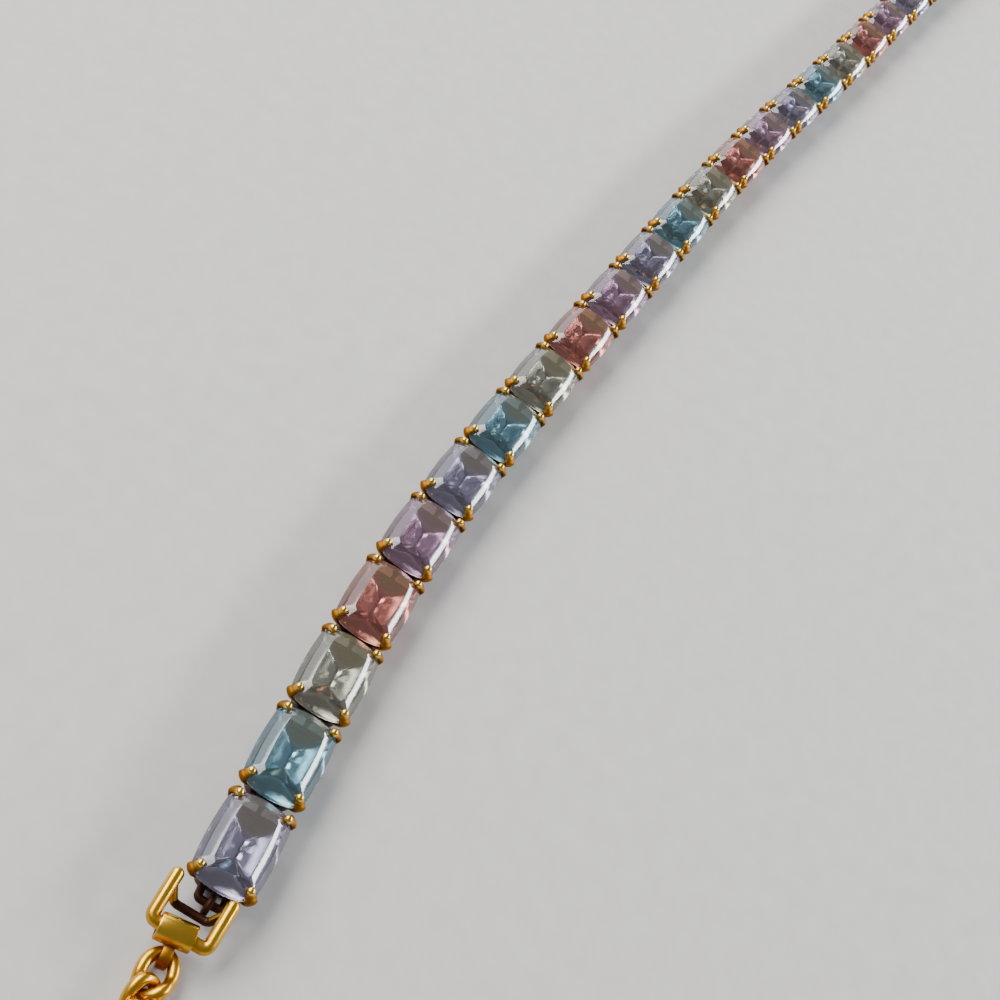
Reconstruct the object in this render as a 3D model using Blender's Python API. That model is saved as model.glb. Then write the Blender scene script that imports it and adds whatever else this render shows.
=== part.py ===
"""Tennis bracelet laid out open on a flat surface, stones up.

25 cushion-cut stones sit in four-claw cup links that hook into each other. One end has an end
frame, a fold tab and a curb extender chain, the other an end frame, a fold tab, a ring and a lobster clasp.
Metres, +Z up. The band runs along +X, and the origin is the middle of its box at floor level."""

import math

import bpy
from mathutils import Matrix, Vector

MM = 0.001

# Stones
STONE_COUNT = 25
STONE_LENGTH = 6.1 * MM
STONE_WIDTH = 4.15 * MM
STONE_GAP = 0.3 * MM
CORNER_ALONG = 0.7 * MM
CORNER_ACROSS = 0.7 * MM
SIDE_BULGE = 0.12 * MM
END_BULGE = 0.18 * MM
CROWN_HEIGHT = 0.75 * MM
CROWN_MARGIN = 0.9 * MM
GIRDLE_THICKNESS = 0.12 * MM
PAVILION_DEPTH = 1.6 * MM
KEEL_LENGTH = 1.2 * MM
KEEL_LIFT = 0.5 * MM
STONE_CLEARANCE = 0.06 * MM

# Cup settings with a flat claw at each corner
CUP_WIDTH = 2.9 * MM
CUP_HEIGHT = 1.05 * MM
CUP_WALL = 0.35 * MM
CUP_FLOOR = 0.3 * MM
CUP_CORNER = 0.45 * MM
FOOT_WIDTH = 0.5 * MM
FOOT_THICKNESS = 0.32 * MM
CLAW_WIDTH = 0.74 * MM
CLAW_THICKNESS = 0.34 * MM
CLAW_SIDES = 5
CLAW_GRIP = 0.12 * MM
BEAD_RADIUS = 0.26 * MM
BEAD_TOP_SHARE = 0.58

# Hinge between two links: a bar on one, a closed loop on the other
BAR_RADIUS = 0.25 * MM
BAR_SPAN = 1.5 * MM
HINGE_CLEARANCE = 0.12 * MM
LOOP_WIRE_RADIUS = 0.2 * MM
LOOP_SEGMENTS = 10
NECK_RADIUS = 0.14 * MM
NECK_DROP_DEGREES = 30.0
FLOOR_GAP = 0.03 * MM
LOOP_END_GAP = 0.25 * MM
WIRE_SIDES = 5

# End frames and fold tabs
FRAME_ROD_RADIUS = 0.38 * MM
FRAME_SPAN = 3.4 * MM
FRAME_LENGTH = 2.5 * MM
FRAME_TIP_REACH = 0.1 * MM
FRAME_TIP_HEIGHT = 2.35 * MM
FRAME_CROSS_HEIGHT = 1.5 * MM
FRAME_SIDES = 6
ROUND_END_REACH = 0.75
ROUND_END_SHARE = 0.5
TAB_CLEARANCE = 0.15 * MM
TAB_WALL = 0.24 * MM
TAB_WIDTH = 2.05 * MM
TAB_SIDES = 10
EYE_CLEARANCE = 0.15 * MM
EYE_WIDTH = 0.6 * MM
TAB_REACH = 1.05 * MM

# Curb extender chain
CHAIN_LINKS = 12
CHAIN_WIRE = 0.7 * MM
CHAIN_LINK_LENGTH = 3.05 * MM
CHAIN_LINK_WIDTH = 2.36 * MM
CHAIN_TWIST = 0.3 * MM
CHAIN_SLACK = 0.1 * MM
CHAIN_SEGMENTS = 10

# Jump ring and lobster clasp
RING_RADIUS = 1.5 * MM
RING_SEGMENTS = 12
CLASP_LENGTH = 8.0 * MM
CLASP_WIDTH = 4.4 * MM
CLASP_THICKNESS = 1.5 * MM
CLASP_RIM = 1.0 * MM
CLASP_HEEL = 2.6 * MM
CLASP_SIDES = 14

# Route: the heading of the band, in degrees from +X, at chosen links
ROUTE = [(1, 8.4), (3, 7.6), (6, 1.0), (9, -1.6), (12, -1.2), (16, -5.4), (19, -3.6), (21, -5.0), (25, -5.0)]
NEAR_FRAME_TURN = -2.0
NEAR_FRAME_SLIDE = 0.6 * MM
NEAR_TAB_TURN = 8.0
NEAR_TAB_SLIDE = 0.15 * MM
CHAIN_TURN = -3.0

# Materials: colour, roughness, metallic
FINISHES = {
    "gold": ((0.83, 0.55, 0.17), 0.22, 1.0),
    "stone_lavender": ((0.56, 0.53, 0.68), 0.05, 0.0),
    "stone_aqua": ((0.45, 0.62, 0.72), 0.05, 0.0),
    "stone_clear": ((0.80, 0.83, 0.78), 0.05, 0.0),
    "stone_coral": ((0.80, 0.42, 0.36), 0.05, 0.0),
    "stone_lilac": ((0.64, 0.48, 0.64), 0.05, 0.0),
}
STONE_ORDER = ["stone_lavender", "stone_aqua", "stone_clear", "stone_coral", "stone_lilac"]

# Sizes worked out from the ones above
PITCH = STONE_LENGTH + STONE_GAP
GIRDLE_LOW = KEEL_LIFT + PAVILION_DEPTH
GIRDLE_TOP = GIRDLE_LOW + GIRDLE_THICKNESS
TABLE_HEIGHT = GIRDLE_TOP + CROWN_HEIGHT
LOOP_MAJOR = BAR_RADIUS + HINGE_CLEARANCE + LOOP_WIRE_RADIUS
LOOP_OUTER = LOOP_MAJOR + LOOP_WIRE_RADIUS
BAR_HEIGHT = LOOP_OUTER + FLOOR_GAP
CUP_END = PITCH / 2 - LOOP_OUTER - LOOP_END_GAP
FRAME_TIP = FRAME_TIP_REACH - FRAME_ROD_RADIUS * ROUND_END_REACH
FRAME_CROSS = FRAME_TIP - FRAME_LENGTH
FRAME_FALL = (FRAME_TIP_HEIGHT - FRAME_CROSS_HEIGHT) / FRAME_LENGTH
EYE_OUTER = CHAIN_WIRE / 2 + EYE_CLEARANCE + TAB_WALL
CHAIN_HEIGHT = EYE_OUTER + FLOOR_GAP
CHAIN_PITCH = CHAIN_LINK_LENGTH - 2 * CHAIN_WIRE - CHAIN_SLACK
LINK_HALF_LENGTH = (CHAIN_LINK_LENGTH - CHAIN_WIRE) / 2
LINK_HALF_WIDTH = (CHAIN_LINK_WIDTH - CHAIN_WIRE) / 2


def clear_scene():
    for thing in list(bpy.data.objects):
        bpy.data.objects.remove(thing, do_unlink=True)


def make_material(name):
    colour, roughness, metallic = FINISHES[name]
    material = bpy.data.materials.new(name)
    material.use_nodes = True
    shader = material.node_tree.nodes["Principled BSDF"]
    shader.inputs["Base Color"].default_value = (*colour, 1.0)
    shader.inputs["Roughness"].default_value = roughness
    shader.inputs["Metallic"].default_value = metallic
    return material


def make_mesh(name, points, faces):
    mesh = bpy.data.meshes.new(name)
    mesh.from_pydata([tuple(point) for point in points], [], faces)
    mesh.validate()
    mesh.update()
    return mesh


def tube(points, radii, sides, closed=False, side=None):
    """Rod through the points, mitred where it turns, with flat ends or closed on itself.

    The radii are one number, or for each point a pair: along the given side and across it."""
    points = [Vector(point) for point in points]
    count = len(points)
    if not isinstance(radii, (list, tuple)):
        radii = [(radii, radii)] * count
    rings = []
    for index, point in enumerate(points):
        if closed or index > 0:
            arriving = (point - points[index - 1]).normalized()
        else:
            arriving = (points[1] - point).normalized()
        if closed or index < count - 1:
            leaving = (points[(index + 1) % count] - point).normalized()
        else:
            leaving = arriving
        if side is None:
            side = arriving.cross(Vector((0, 0, 1)))
        side = (side - arriving * side.dot(arriving)).normalized()
        over = arriving.cross(side)
        mitre = (arriving + leaving).normalized()
        ring = []
        for step in range(sides):
            angle = 2 * math.pi * (step + 0.5) / sides
            offset = side * math.cos(angle) * radii[index][0] + over * math.sin(angle) * radii[index][1]
            offset -= arriving * (offset.dot(mitre) / arriving.dot(mitre))
            ring.append(point + offset)
        rings.append(ring)
    verts = [vertex for ring in rings for vertex in ring]
    faces = []
    for index in range(count if closed else count - 1):
        here = index * sides
        after = (index + 1) % count * sides
        for step in range(sides):
            following = (step + 1) % sides
            faces.append((here + step, here + following, after + following, after + step))
    if not closed:
        faces.append(tuple(reversed(range(sides))))
        faces.append(tuple(range((count - 1) * sides, count * sides)))
    return make_mesh("tube", verts, faces)


def prism(outline, low, high):
    """Upright block with the given outline, drawn anticlockwise from above."""
    count = len(outline)
    verts = [(x, y, low) for x, y in outline] + [(x, y, high) for x, y in outline]
    faces = [tuple(reversed(range(count))), tuple(range(count, 2 * count))]
    for index in range(count):
        following = (index + 1) % count
        faces.append((index, following, count + following, count + index))
    return make_mesh("prism", verts, faces)


def barrel(radius, width, height, along, sides=TAB_SIDES):
    """Cylinder lying across the band."""
    outline = []
    for step in range(sides):
        angle = 2 * math.pi * (step + 0.5) / sides
        outline.append((along + radius * math.cos(angle), height + radius * math.sin(angle)))
    verts = [(x, width / 2, z) for x, z in outline] + [(x, -width / 2, z) for x, z in outline]
    faces = [tuple(reversed(range(sides))), tuple(range(sides, 2 * sides))]
    for index in range(sides):
        following = (index + 1) % sides
        faces.append((index, following, sides + following, sides + index))
    return make_mesh("barrel", verts, faces)


def combine(name, meshes, cuts=()):
    """Fuse the meshes into one solid and cut the others out of it."""
    scene = bpy.context.scene
    body = bpy.data.objects.new(name, meshes[0])
    scene.collection.objects.link(body)
    helpers = []
    for operation, group in (("UNION", meshes[1:]), ("DIFFERENCE", cuts)):
        for mesh in group:
            helper = bpy.data.objects.new("helper", mesh)
            scene.collection.objects.link(helper)
            helper.hide_render = True
            helper.display_type = "WIRE"
            helpers.append(helper)
            boolean = body.modifiers.new(operation, "BOOLEAN")
            boolean.operation = operation
            boolean.solver = "EXACT"
            boolean.object = helper
    graph = bpy.context.evaluated_depsgraph_get()
    graph.update()
    result = bpy.data.meshes.new_from_object(body.evaluated_get(graph))
    result.name = name
    for thing in [body, *helpers]:
        bpy.data.objects.remove(thing, do_unlink=True)
    return result


def place(name, mesh, material, where=(0, 0, 0), degrees=0.0, sharp=35.0):
    piece = bpy.data.objects.new(name, mesh)
    bpy.context.scene.collection.objects.link(piece)
    piece.location = where
    piece.rotation_euler = (0, 0, math.radians(degrees))
    if not mesh.materials:
        mesh.materials.append(material)
        mesh.shade_smooth()
        mesh.set_sharp_from_angle(angle=math.radians(sharp))
    return piece


def cushion_outline(margin=0.0):
    """Twelve-sided cushion: bulged sides and ends with cut corners, moved inwards by the margin."""
    length = STONE_LENGTH / 2 - margin
    width = STONE_WIDTH / 2 - margin
    share = width / (STONE_WIDTH / 2)
    end_x = length - END_BULGE * share
    side_y = width - SIDE_BULGE * share
    corner_x = end_x - CORNER_ALONG * share
    corner_y = side_y - CORNER_ACROSS * share
    quarter = [(length, 0.0), (end_x, corner_y), (corner_x, side_y)]
    second = [(0.0, width), (-corner_x, side_y), (-end_x, corner_y)]
    upper = quarter + second
    return upper + [(-x, -y) for x, y in upper]


def make_stone():
    """Table, crown, girdle and a pavilion that meets in a keel."""
    girdle = cushion_outline()
    table = cushion_outline(CROWN_MARGIN)
    count = len(girdle)
    verts = [(x, y, TABLE_HEIGHT) for x, y in table]
    verts += [(x, y, GIRDLE_TOP) for x, y in girdle]
    verts += [(x, y, GIRDLE_LOW) for x, y in girdle]
    far_keel = len(verts)
    near_keel = far_keel + 1
    verts += [(KEEL_LENGTH / 2, 0.0, KEEL_LIFT), (-KEEL_LENGTH / 2, 0.0, KEEL_LIFT)]
    faces = [tuple(range(count))]
    for index in range(count):
        following = (index + 1) % count
        for ring in (0, count):
            faces.append((ring + index, ring + count + index, ring + count + following, ring + following))
        far_side = girdle[index][0] + girdle[following][0] > 0
        keel = far_keel if far_side else near_keel
        faces.append((2 * count + index, keel, 2 * count + following))
    faces.append((2 * count + count // 4, far_keel, near_keel))
    faces.append((2 * count + 3 * count // 4, near_keel, far_keel))
    return make_mesh("stone", verts, faces)


def claw_points():
    """Foot, knee, tip and end of the claw at the far left corner of a stone."""
    _, end_corner, side_corner = cushion_outline()[:3]
    corner = Vector(((end_corner[0] + side_corner[0]) / 2, (end_corner[1] + side_corner[1]) / 2, 0))
    outward = Vector((end_corner[1] - side_corner[1], side_corner[0] - end_corner[0], 0)).normalized() * -1
    foot_in = CUP_CORNER / 2 + CUP_WALL / 2 * math.sqrt(0.5)
    foot = Vector((CUP_END - foot_in, CUP_WIDTH / 2 - foot_in, CUP_HEIGHT / 2))
    lean = math.hypot(corner.x - foot.x, corner.y - foot.y) / (GIRDLE_TOP - foot.z)
    half_thick = CLAW_THICKNESS / 2 * math.hypot(1.0, lean)
    knee = corner + outward * (half_thick + STONE_CLEARANCE + lean * GIRDLE_THICKNESS)
    knee.z = GIRDLE_TOP
    crown = math.atan(CROWN_HEIGHT / CROWN_MARGIN)
    tip = corner - outward * CLAW_GRIP
    tip.z = GIRDLE_TOP + CLAW_GRIP * math.tan(crown) + (BEAD_RADIUS + STONE_CLEARANCE) / math.cos(crown)
    end = tip + (tip - knee).normalized() * BEAD_RADIUS * BEAD_TOP_SHARE
    return [foot, knee, tip, end]


def cut_rectangle(half_length, half_width, corner):
    upper = [(half_length, half_width - corner), (half_length - corner, half_width)]
    upper += [(-half_length + corner, half_width), (-half_length, half_width - corner)]
    return upper + [(-x, -y) for x, y in upper]


def hinge_loop(along):
    """Closed loop in the upright plane of the band, round the next link's bar."""
    points = []
    for step in range(LOOP_SEGMENTS):
        angle = 2 * math.pi * step / LOOP_SEGMENTS
        points.append((along + LOOP_MAJOR * math.cos(angle), 0, BAR_HEIGHT + LOOP_MAJOR * math.sin(angle)))
    return tube(points, LOOP_WIRE_RADIUS, WIRE_SIDES, closed=True)


def make_cup():
    """Closed cup with thin walls, open towards the stone."""
    block = prism(cut_rectangle(CUP_END, CUP_WIDTH / 2, CUP_CORNER), 0.0, CUP_HEIGHT)
    inner_corner = CUP_CORNER - CUP_WALL * (2 - math.sqrt(2))
    inner = cut_rectangle(CUP_END - CUP_WALL, CUP_WIDTH / 2 - CUP_WALL, inner_corner)
    return combine("cup", [block], [prism(inner, CUP_FLOOR, 2 * CUP_HEIGHT)])


def make_setting():
    """Cup, four claws, the near bar and the far loop, soldered into one."""
    solids = [make_cup()]
    sizes = [(FOOT_THICKNESS / 2, FOOT_WIDTH / 2), (CLAW_THICKNESS / 2, CLAW_WIDTH / 2)]
    sizes += [(BEAD_RADIUS, BEAD_RADIUS), (BEAD_RADIUS * BEAD_TOP_SHARE, BEAD_RADIUS * BEAD_TOP_SHARE)]
    foot, knee = claw_points()[:2]
    inward = Vector((foot.x - knee.x, foot.y - knee.y, 0))
    for mirror in (Vector((1, 1, 1)), Vector((-1, 1, 1)), Vector((-1, -1, 1)), Vector((1, -1, 1))):
        points = [point * mirror for point in claw_points()]
        solids.append(tube(points, sizes, CLAW_SIDES, side=inward * mirror))
    root = -(CUP_END - CUP_WALL / 2)
    half_span = BAR_SPAN / 2
    bar = [(root, half_span, CUP_HEIGHT / 2), (-PITCH / 2, half_span, BAR_HEIGHT)]
    bar += [(x, -y, z) for x, y, z in reversed(bar)]
    solids.append(tube(bar, BAR_RADIUS, WIRE_SIDES))
    solids.append(hinge_loop(PITCH / 2))
    meet = math.radians(NECK_DROP_DEGREES)
    neck = [(-root, 0, CUP_HEIGHT / 2)]
    neck.append((PITCH / 2 - LOOP_MAJOR * math.cos(meet), 0, BAR_HEIGHT - LOOP_MAJOR * math.sin(meet)))
    solids.append(tube(neck, NECK_RADIUS, WIRE_SIDES))
    return combine("setting", solids)


def frame_height(along):
    return FRAME_TIP_HEIGHT + (along - FRAME_TIP) * FRAME_FALL


def frame_rod(slide):
    """U-shaped rod with rounded free ends beside the stone. It runs towards -X from the hinge at 0."""
    half = FRAME_SPAN / 2
    bend = FRAME_ROD_RADIUS
    round_end = FRAME_ROD_RADIUS * ROUND_END_REACH
    profile = [(FRAME_TIP + round_end, half, ROUND_END_SHARE), (FRAME_TIP, half, 1.0)]
    profile += [(FRAME_CROSS + bend, half, 1.0), (FRAME_CROSS, half - bend, 1.0)]
    profile += [(x, -y, share) for x, y, share in reversed(profile)]
    points = [(x, y + slide, frame_height(x)) for x, y, _ in profile]
    radii = [(FRAME_ROD_RADIUS * share, FRAME_ROD_RADIUS * share) for _, _, share in profile]
    return tube(points, radii, FRAME_SIDES)


def make_end_frame(name, slide, with_loop):
    """Frame with a lower bar at the hinge, or with a lower bar and a loop round the next link's bar."""
    along = -(LOOP_OUTER + LOOP_WIRE_RADIUS) if with_loop else 0.0
    leg = FRAME_TIP - FRAME_ROD_RADIUS
    half = FRAME_SPAN / 2
    inner = half - FRAME_ROD_RADIUS - BAR_RADIUS
    bar = [(leg, half + slide, frame_height(leg)), (along, inner + slide, BAR_HEIGHT)]
    bar += [(along, slide - inner, BAR_HEIGHT), (leg, slide - half, frame_height(leg))]
    solids = [frame_rod(slide), tube(bar, BAR_RADIUS, FRAME_SIDES)]
    if with_loop:
        solids.append(hinge_loop(0.0))
        solids.append(tube([(along, 0, BAR_HEIGHT), (-LOOP_MAJOR, 0, BAR_HEIGHT)], NECK_RADIUS, WIRE_SIDES))
    return combine(name, solids)


def make_tab(name):
    """Strap folded round the frame's cross rod at 0, narrowing to an eye round the next piece's wire."""
    rod_hole = FRAME_ROD_RADIUS + TAB_CLEARANCE
    eye_hole = EYE_OUTER - TAB_WALL
    big = barrel(rod_hole + TAB_WALL, TAB_WIDTH, FRAME_CROSS_HEIGHT, 0.0)
    small = barrel(EYE_OUTER, EYE_WIDTH, CHAIN_HEIGHT, -TAB_REACH)
    web = [(-rod_hole - TAB_WALL / 2, 0, FRAME_CROSS_HEIGHT)]
    web.append((-TAB_REACH + eye_hole + TAB_WALL / 2, 0, CHAIN_HEIGHT))
    strap = tube(web, EYE_WIDTH / 2, 4)
    cuts = [barrel(rod_hole, TAB_WIDTH * 2, FRAME_CROSS_HEIGHT, 0.0)]
    cuts.append(barrel(eye_hole, TAB_WIDTH * 2, CHAIN_HEIGHT, -TAB_REACH))
    return combine(name, [big, small, strap], cuts)


def chain_link(centre_x, twist):
    points = []
    for step in range(CHAIN_SEGMENTS):
        angle = 2 * math.pi * step / CHAIN_SEGMENTS
        along = centre_x + LINK_HALF_LENGTH * math.cos(angle)
        height = CHAIN_HEIGHT + twist * math.sin(2 * angle)
        points.append((along, LINK_HALF_WIDTH * math.sin(angle), height))
    return tube(points, CHAIN_WIRE / 2, WIRE_SIDES, closed=True)


def make_chain():
    """Curb chain that runs towards -X from its first link's end wire at 0."""
    links = []
    for index in range(CHAIN_LINKS):
        twist = CHAIN_TWIST if index else 0.0
        links.append(chain_link(-LINK_HALF_LENGTH - index * CHAIN_PITCH, twist))
    return combine("extender_chain", links)


def make_jump_ring():
    """Ring that lies flat, with its near side at 0."""
    points = []
    for step in range(RING_SEGMENTS):
        angle = 2 * math.pi * step / RING_SEGMENTS
        points.append((RING_RADIUS * (1 + math.cos(angle)), RING_RADIUS * math.sin(angle), CHAIN_HEIGHT))
    return tube(points, CHAIN_WIRE / 2, WIRE_SIDES, closed=True)


def oval(low, high, width):
    """Oval between two places along the band."""
    outline = []
    for step in range(CLASP_SIDES):
        angle = 2 * math.pi * step / CLASP_SIDES
        along = (low + high) / 2 + (high - low) / 2 * math.cos(angle)
        outline.append((along, width / 2 * math.sin(angle)))
    return outline


def make_clasp():
    """Lobster clasp as one plain piece: an oval body with a hook opening, and an eye at 0."""
    eye_hole = EYE_OUTER - TAB_WALL
    start = eye_hole + TAB_WALL / 2
    finish = start + CLASP_LENGTH
    body = prism(oval(start, finish, CLASP_WIDTH), FLOOR_GAP, FLOOR_GAP + CLASP_THICKNESS)
    eye = barrel(EYE_OUTER, EYE_WIDTH, CHAIN_HEIGHT, 0.0)
    opening = oval(start + CLASP_HEEL, finish - CLASP_RIM, CLASP_WIDTH - 2 * CLASP_RIM)
    cuts = [prism(opening, -CLASP_THICKNESS, 2 * CLASP_THICKNESS)]
    cuts.append(barrel(eye_hole, EYE_WIDTH * 2, CHAIN_HEIGHT, 0.0))
    return combine("lobster_clasp", [body, eye], cuts)


def heading_at(number):
    for (before, start), (after, finish) in zip(ROUTE, ROUTE[1:]):
        if number <= after:
            return start + (finish - start) * (number - before) / (after - before)
    return ROUTE[-1][1]


def along_heading(degrees, forward, left=0.0):
    angle = math.radians(degrees)
    ahead = Vector((math.cos(angle), math.sin(angle), 0))
    aside = Vector((-math.sin(angle), math.cos(angle), 0))
    return ahead * forward + aside * left


def place_row(materials):
    """Settings and stones along the route. Returns the hinge points at both ends."""
    setting = make_setting()
    stone_meshes = {name: make_stone() for name in STONE_ORDER}
    where = Vector((0, 0, 0))
    for number in range(1, STONE_COUNT + 1):
        heading = heading_at(number)
        if number > 1:
            where += along_heading(heading, PITCH / 2)
        place(f"setting_{number:02d}", setting, materials["gold"], where, heading)
        colour = STONE_ORDER[(number - 1) % len(STONE_ORDER)]
        place(f"stone_{number:02d}", stone_meshes[colour], materials[colour], where, heading, sharp=5.0)
        where += along_heading(heading, PITCH / 2)
    near_hinge = along_heading(heading_at(1), -PITCH / 2)
    return near_hinge, where


def place_near_end(gold, hinge):
    heading = heading_at(1) + NEAR_FRAME_TURN
    frame = make_end_frame("near_end_frame", NEAR_FRAME_SLIDE, True)
    place("near_end_frame", frame, gold, hinge, heading)
    rod = hinge + along_heading(heading, FRAME_CROSS, NEAR_FRAME_SLIDE + NEAR_TAB_SLIDE)
    heading += NEAR_TAB_TURN
    place("near_tab", make_tab("near_tab"), gold, rod, heading)
    start = rod + along_heading(heading, -TAB_REACH)
    place("extender_chain", make_chain(), gold, start, heading + CHAIN_TURN)


def place_far_end(gold, hinge):
    heading = heading_at(STONE_COUNT)
    backwards = heading + 180
    place("far_end_frame", make_end_frame("far_end_frame", 0.0, False), gold, hinge, backwards)
    rod = hinge + along_heading(heading, -FRAME_CROSS)
    place("far_tab", make_tab("far_tab"), gold, rod, backwards)
    start = rod + along_heading(heading, TAB_REACH)
    place("jump_ring", make_jump_ring(), gold, start, heading)
    place("lobster_clasp", make_clasp(), gold, start + along_heading(heading, 2 * RING_RADIUS), heading)


def centre_on_origin():
    """Move everything so that the middle of the box is over the origin."""
    bpy.context.view_layer.update()
    corners = [thing.matrix_world @ vertex.co for thing in bpy.data.objects for vertex in thing.data.vertices]
    low = Vector([min(corner[axis] for corner in corners) for axis in range(3)])
    high = Vector([max(corner[axis] for corner in corners) for axis in range(3)])
    shift = Vector(((low.x + high.x) / 2, (low.y + high.y) / 2, low.z))
    for thing in bpy.data.objects:
        thing.location -= shift
    bpy.context.view_layer.update()


def main():
    clear_scene()
    materials = {name: make_material(name) for name in FINISHES}
    near_hinge, far_hinge = place_row(materials)
    place_near_end(materials["gold"], near_hinge)
    place_far_end(materials["gold"], far_hinge)
    centre_on_origin()


main()
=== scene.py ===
"""Looks of the tennis bracelet: cut stones, claw cups, end fittings, chain and clasp."""

import math

import bmesh
import bpy
from mathutils import Matrix, Vector


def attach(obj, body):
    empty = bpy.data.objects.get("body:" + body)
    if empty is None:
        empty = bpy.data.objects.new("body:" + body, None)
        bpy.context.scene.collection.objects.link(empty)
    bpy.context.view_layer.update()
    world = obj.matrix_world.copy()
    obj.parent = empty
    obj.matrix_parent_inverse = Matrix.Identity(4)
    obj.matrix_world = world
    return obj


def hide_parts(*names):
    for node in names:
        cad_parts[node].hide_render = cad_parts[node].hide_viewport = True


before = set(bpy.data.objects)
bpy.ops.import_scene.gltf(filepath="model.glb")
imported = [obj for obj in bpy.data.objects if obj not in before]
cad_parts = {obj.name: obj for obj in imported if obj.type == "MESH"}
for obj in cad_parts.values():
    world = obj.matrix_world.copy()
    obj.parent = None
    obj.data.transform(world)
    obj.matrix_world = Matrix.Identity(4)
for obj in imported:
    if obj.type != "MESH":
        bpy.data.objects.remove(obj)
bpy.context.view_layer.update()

MM = 0.001

# Stones, as the solids have them
STONE_COUNT = 25
STONE_LENGTH = 6.1 * MM
STONE_WIDTH = 4.15 * MM
STONE_GAP = 0.3 * MM
CORNER_CUT = 0.7 * MM
SIDE_BULGE = 0.12 * MM
END_BULGE = 0.18 * MM
CROWN_HEIGHT = 0.75 * MM
CROWN_MARGIN = 0.9 * MM
GIRDLE_THICKNESS = 0.12 * MM
PAVILION_DEPTH = 1.6 * MM
KEEL_HALF = 0.6 * MM
KEEL_LIFT = 0.5 * MM
STONE_CLEARANCE = 0.06 * MM

# The finer cut that is seen. A pavilion step is a share of the way in to the keel, and of the way down to it
GEM_LENGTH = 6.24 * MM
CROWN_STEP_IN = 0.36 * MM
CROWN_STEP_RISE = 0.40 * MM
PAVILION_STEPS = [(0.64, 0.69), (0.30, 0.36)]
PAVILION_SOFTNESS = 0.14 * MM
CROWN_SOFTNESS = 0.03 * MM

# Cups and claws. The claws' pairs are half thickness and half width in mm, from foot to tip
CUP_HALF_WIDTH = 1.45 * MM
CUP_HEIGHT = 1.05 * MM
CUP_WALL = 0.35 * MM
CUP_FLOOR = 0.3 * MM
CUP_CORNER = 0.45 * MM
CUP_EDGE = 0.08 * MM
CLAW_THICKNESS = 0.34 * MM
CLAW_GRIP = 0.12 * MM
CLAW_STEPS = 5
CLAW_PAIRS = [(0.16, 0.26), (0.165, 0.34), (0.17, 0.40), (0.165, 0.33), (0.15, 0.23)]
BEAD_RADIUS = 0.26 * MM

# Hinges: a bar on one link, a closed loop on the other
BAR_RADIUS = 0.25 * MM
BAR_HALF_SPAN = 0.75 * MM
BAR_CORNER = 0.3 * MM
HINGE_CLEARANCE = 0.12 * MM
LOOP_WIRE = 0.2 * MM
LOOP_END_GAP = 0.25 * MM
NECK_RADIUS = 0.14 * MM
NECK_DROP = math.radians(30.0)
FLOOR_GAP = 0.03 * MM

# End frames and fold tabs. The web's pairs are a share of its way down and its half width there in mm
FRAME_ROD = 0.38 * MM
FRAME_HALF_SPAN = 1.7 * MM
FRAME_LENGTH = 2.5 * MM
FRAME_TIP = -0.185 * MM
FRAME_TIP_HEIGHT = 2.35 * MM
FRAME_CROSS_HEIGHT = 1.5 * MM
FRAME_BEND = 0.34 * MM
# Top of the near-black painted shade on the near frame's lower bar and loop
SHADE_TOP = 1.6 * MM
TAB_CLEARANCE = 0.15 * MM
TAB_WALL = 0.24 * MM
TAB_WIDTH = 2.05 * MM
TAB_REACH = 1.05 * MM
WEB_PAIRS = [(0.0, 0.90), (0.35, 0.78), (0.7, 0.50), (1.0, 0.30)]
ROLL_EDGE = 0.09 * MM
EYE_CLEARANCE = 0.15 * MM
EYE_WIDTH = 0.6 * MM

# Curb chain, closing ring and clasp
CHAIN_LINKS = 12
CHAIN_WIRE = 0.35 * MM
CHAIN_LINK_LENGTH = 3.05 * MM
CHAIN_LINK_WIDTH = 2.36 * MM
CHAIN_SLACK = 0.1 * MM
CHAIN_TWIST = 0.4 * MM
EYE_SLACK = 0.14 * MM
RING_RADIUS = 1.5 * MM
CLASP_LENGTH = 8.0 * MM
CLASP_WIDTH = 4.4 * MM
CLASP_THICKNESS = 1.5 * MM
CLASP_RIM = 1.0 * MM
CLASP_HEEL = 2.6 * MM
CLASP_ROUNDNESS = 0.6

# How the near end lies
NEAR_FRAME_TURN = math.radians(-2.0)
NEAR_FRAME_SLIDE = 0.6 * MM
NEAR_TAB_TURN = math.radians(8.0)
NEAR_TAB_SLIDE = 0.15 * MM
CHAIN_TURN = math.radians(-3.0)

# Sizes worked out from the ones above
PITCH = STONE_LENGTH + STONE_GAP
GIRDLE_LOW = KEEL_LIFT + PAVILION_DEPTH
GIRDLE_TOP = GIRDLE_LOW + GIRDLE_THICKNESS
TABLE_HEIGHT = GIRDLE_TOP + CROWN_HEIGHT
LOOP_MAJOR = BAR_RADIUS + HINGE_CLEARANCE + LOOP_WIRE
LOOP_OUTER = LOOP_MAJOR + LOOP_WIRE
BAR_HEIGHT = LOOP_OUTER + FLOOR_GAP
CUP_END = PITCH / 2 - LOOP_OUTER - LOOP_END_GAP
FRAME_CROSS = FRAME_TIP - FRAME_LENGTH
TAB_HOLE = FRAME_ROD + TAB_CLEARANCE
EYE_HOLE = CHAIN_WIRE + EYE_CLEARANCE
CHAIN_HEIGHT = EYE_HOLE + TAB_WALL + FLOOR_GAP
CHAIN_PITCH = CHAIN_LINK_LENGTH - 4 * CHAIN_WIRE - CHAIN_SLACK
LINK_HALF_LENGTH = CHAIN_LINK_LENGTH / 2 - CHAIN_WIRE
LINK_HALF_WIDTH = CHAIN_LINK_WIDTH / 2 - CHAIN_WIRE

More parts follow.
